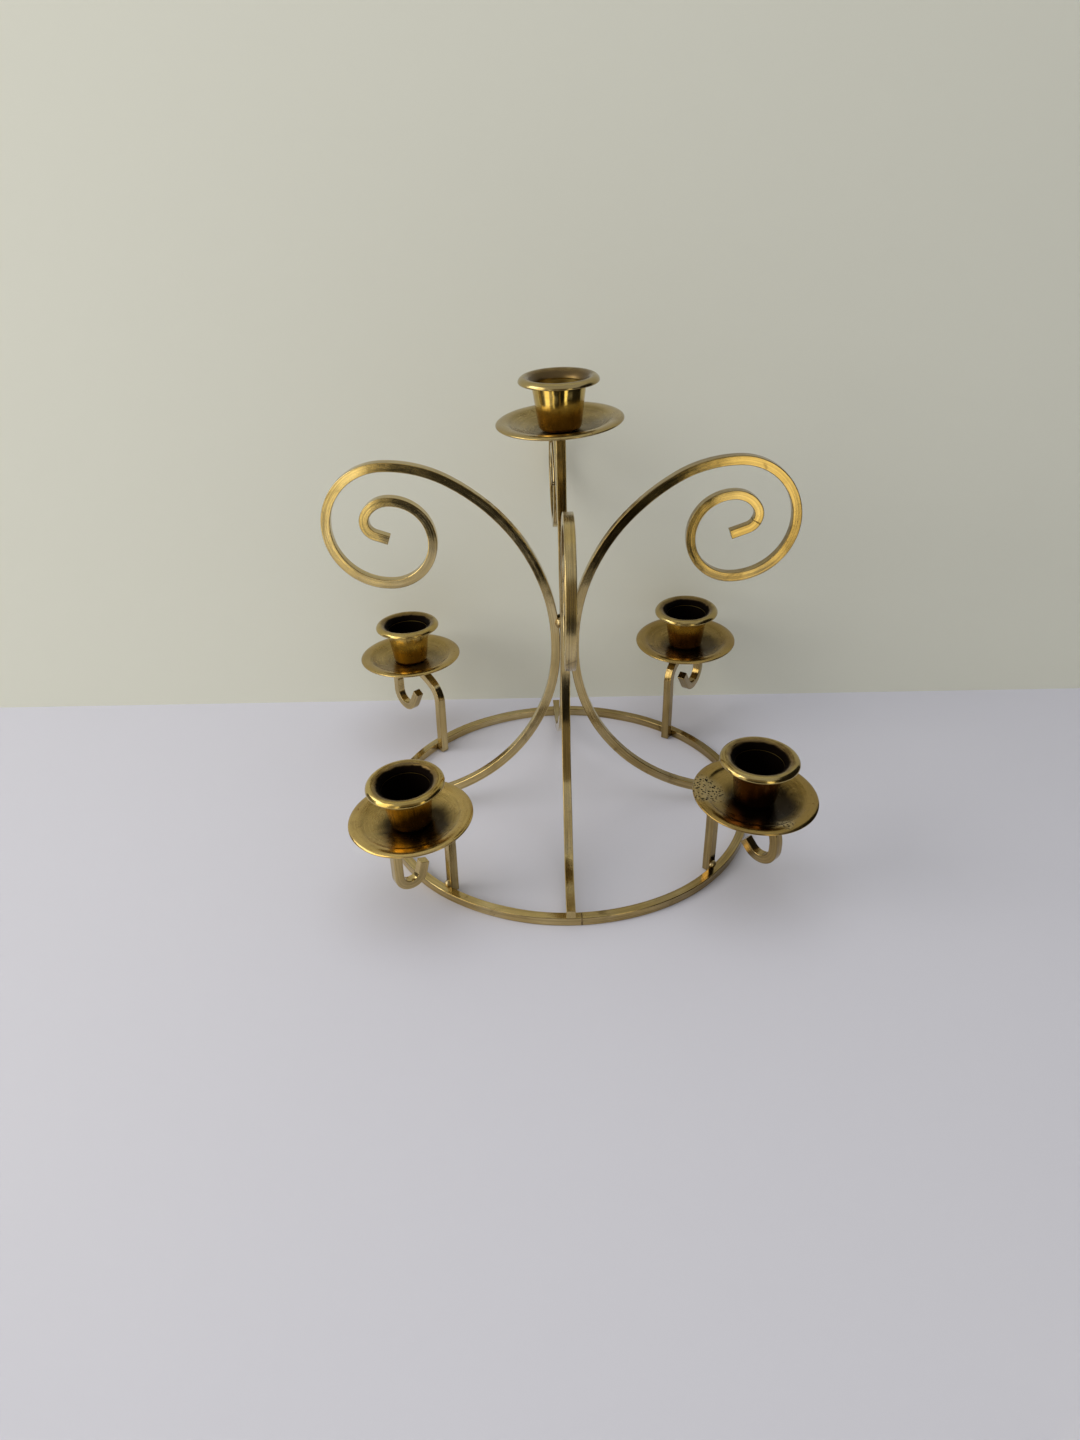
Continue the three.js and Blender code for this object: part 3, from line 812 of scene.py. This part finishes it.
def buildRingJoint():
    bm = bmesh.new()
    bmesh.ops.create_cube(bm, size=1.0)
    bmesh.ops.scale(bm, vec=(bar["side"], ring["jointWidth"] + bar["gap"], bar["side"]), verts=bm.verts[:])
    bmesh.ops.bevel(bm, geom=bm.edges[:], offset=ring["jointCorner"], affect="EDGES",
                    segments=ring["jointSteps"], profile=0.5, material=-1)
    place = turnAbout("Z", ring["jointAngle"]) @ shift(ringMiddle, 0, half)
    finishPiece("ringJoint", bm, place, jointBrass, "ring_joint_weld")


buildRingJoint()
print("ring joint ready")


# Stage: a pale table and wall, soft lamps, cards that only the metal mirrors, and the camera

white = (1.0, 1.0, 1.0)
stage = {
    "floor": {"colour": (0.60, 0.595, 0.66), "rough": 0.7, "size": 6.0},
    "wall": {"colour": (0.75, 0.75, 0.64), "rough": 0.8, "at": (0.0, 0.1245, 0.0), "turn": -0.9,
             "width": 5.0, "tall": 1.5},
    "dull": 0.2,
    "fill": 0.42,
    "shown": (0.52, 0.53, 0.56),
    "aim": (0, 0, 0.1),
    "lamps": [
        {"name": "window", "size": (1.35, 1.2), "energy": 20.5, "at": (-1.65, -0.54, 0.93),
         "colour": (1.0, 0.97, 0.92), "mirrored": True},
        {"name": "overhead", "size": (1.2, 1.2), "energy": 5.2, "at": (-0.1, -0.1, 1.3),
         "colour": (0.96, 0.98, 1.0), "mirrored": False},
    ],
    # the room as the metal mirrors it: dark in front and at the right, with bright strips between
    "card": (0.02, 0.018, 0.016),
    "cards": [
        {"name": "frontLow", "size": (0.175, 0.14), "at": (0.0475, -0.325, 0.07), "facing": 0,
         "glow": 0.0, "colour": white},
        {"name": "frontLeft", "size": (0.105, 0.10), "at": (-0.0925, -0.325, 0.09), "facing": 0,
         "glow": 0.02, "colour": white},
        {"name": "frontHigh", "size": (0.28, 0.24), "at": (-0.005, -0.325, 0.26), "facing": 0,
         "glow": 0.18, "colour": (1.0, 0.85, 0.6)},
        {"name": "goldStrip", "size": (0.085, 0.24), "at": (0.18, -0.335, 0.12), "facing": 5,
         "glow": 2.1, "colour": (1.0, 0.90, 0.55)},
        {"name": "cornerCard", "size": (0.20, 0.34), "at": (0.305, -0.295, 0.17), "facing": 35,
         "glow": 0.0, "colour": white},
        {"name": "rightCard", "size": (0.46, 0.50), "at": (0.385, -0.02, 0.25), "facing": 87,
         "glow": 0.0, "colour": white},
        {"name": "leftGlint", "size": (0.035, 0.20), "at": (-0.164, -0.32, 0.12), "facing": 0,
         "glow": 1.9, "colour": (1.0, 0.92, 0.66)},
        {"name": "leftDim", "size": (0.09, 0.20), "at": (-0.226, -0.305, 0.14), "facing": -10,
         "glow": 0.45, "colour": (1.0, 0.9, 0.7)},
        {"name": "leftStrip", "size": (0.15, 0.50), "at": (-0.32, -0.215, 0.25), "facing": -55,
         "glow": 2.2, "colour": (1.0, 0.92, 0.68)},
        {"name": "sideGlint", "size": (0.20, 0.15), "at": (-0.39, -0.05, 0.30), "facing": -90,
         "glow": 3.2, "colour": (1.0, 0.98, 0.92)},
        {"name": "leftCard", "size": (0.22, 0.36), "at": (-0.42, -0.02, 0.18), "facing": -90,
         "glow": 0.1, "colour": white},
    ],
}


def buildFloor():
    floor = stage["floor"]
    material, tree, shader = startMaterial("pale table")
    setInputs(shader, {"Base Color": (*floor["colour"], 1), "Roughness": floor["rough"],
                       "Specular IOR Level": stage["dull"]})
    bm = bmesh.new()
    bmesh.ops.create_grid(bm, x_segments=1, y_segments=1, size=floor["size"])
    made = linkMesh("floor", bm, material)


def standing(name, width, tall, place, material):
    bm = bmesh.new()
    bmesh.ops.create_grid(bm, x_segments=1, y_segments=1, size=0.5)
    bmesh.ops.transform(bm, matrix=place @ turnAbout("X", 90) @ Matrix.Diagonal((width, tall, 1, 1)),
                        verts=bm.verts[:])
    made = linkMesh(name, bm, material)
    made.visible_shadow = False
    return made


def buildWall():
    # a wall close behind, as in the photo; it is clear from its back, so views from there see past it
    wall = stage["wall"]
    material, tree, shader = startMaterial("pale wall")
    setInputs(shader, {"Base Color": (*wall["colour"], 1), "Roughness": wall["rough"],
                       "Specular IOR Level": stage["dull"]})
    clear = tree.nodes.new("ShaderNodeBsdfTransparent")
    side = tree.nodes.new("ShaderNodeNewGeometry")
    mix = tree.nodes.new("ShaderNodeMixShader")
    tree.links.new(side.outputs["Backfacing"], mix.inputs[0])
    tree.links.new(shader.outputs[0], mix.inputs[1])
    tree.links.new(clear.outputs[0], mix.inputs[2])
    tree.links.new(mix.outputs[0], tree.nodes["Material Output"].inputs[0])
    place = Matrix.Translation(wall["at"]) @ turnAbout("Z", wall["turn"]) @ shift(0, 0, wall["tall"] / 2)
    standing("wall", wall["width"], wall["tall"], place, material)


def buildCards():
    for card in stage["cards"]:
        material, tree, shader = startMaterial(card["name"])
        setInputs(shader, {"Base Color": (*stage["card"], 1), "Roughness": 1.0, "Specular IOR Level": 0.0,
                           "Emission Color": (*card["colour"], 1), "Emission Strength": card["glow"]})
        place = Matrix.Translation(card["at"]) @ turnAbout("Z", card["facing"])
        made = standing(card["name"], *card["size"], place, material)
        made.visible_camera = False
        made.visible_diffuse = False


def buildLamps():
    for lamp in stage["lamps"]:
        light = bpy.data.lights.new(lamp["name"], "AREA")
        light.shape = "RECTANGLE"
        light.size, light.size_y = lamp["size"]
        light.energy = lamp["energy"]
        light.color = lamp["colour"]
        made = bpy.data.objects.new(lamp["name"], light)
        made.visible_glossy = lamp["mirrored"]
        made.location = lamp["at"]
        made.rotation_euler = (Vector(stage["aim"]) - made.location).to_track_quat("-Z", "Y").to_euler()
        scene.collection.objects.link(made)


def buildWorld():
    # white light all round, but the camera and the metal see a darker room
    world = bpy.data.worlds.new("studio")
    scene.world = world
    world.use_nodes = True
    tree = world.node_tree
    tree.nodes.clear()
    path = tree.nodes.new("ShaderNodeLightPath")
    seen = mathNode(tree, "MAXIMUM", path.outputs["Is Camera Ray"], path.outputs["Is Glossy Ray"])
    seen = mathNode(tree, "MAXIMUM", seen, path.outputs["Is Transmission Ray"])
    fill = newNode(tree, "ShaderNodeBackground", {"Color": (*white, 1), "Strength": stage["fill"]})
    shown = newNode(tree, "ShaderNodeBackground", {"Color": (*stage["shown"], 1), "Strength": 1.0})
    mix = tree.nodes.new("ShaderNodeMixShader")
    tree.links.new(seen, mix.inputs[0])
    tree.links.new(fill.outputs[0], mix.inputs[1])
    tree.links.new(shown.outputs[0], mix.inputs[2])
    out = tree.nodes.new("ShaderNodeOutputWorld")
    tree.links.new(mix.outputs[0], out.inputs[0])


view = {"at": (-0.019382, -0.489875, 0.35381), "turn": (58.8271, 1.0026, -1.2127), "lens": 25.578, "sensor": 36,
        "clip": 0.01}


def buildCamera():
    lens = bpy.data.cameras.new("camera")
    lens.lens = view["lens"]
    lens.sensor_width = view["sensor"]
    lens.clip_start = view["clip"]
    made = bpy.data.objects.new("camera", lens)
    made.location = view["at"]
    made.rotation_euler = [radians(v) for v in view["turn"]]
    scene.collection.objects.link(made)
    scene.camera = made


buildFloor()
buildWall()
buildCards()
buildLamps()
buildWorld()
buildCamera()
scene.view_settings.view_transform = "Standard"
print("stage ready")
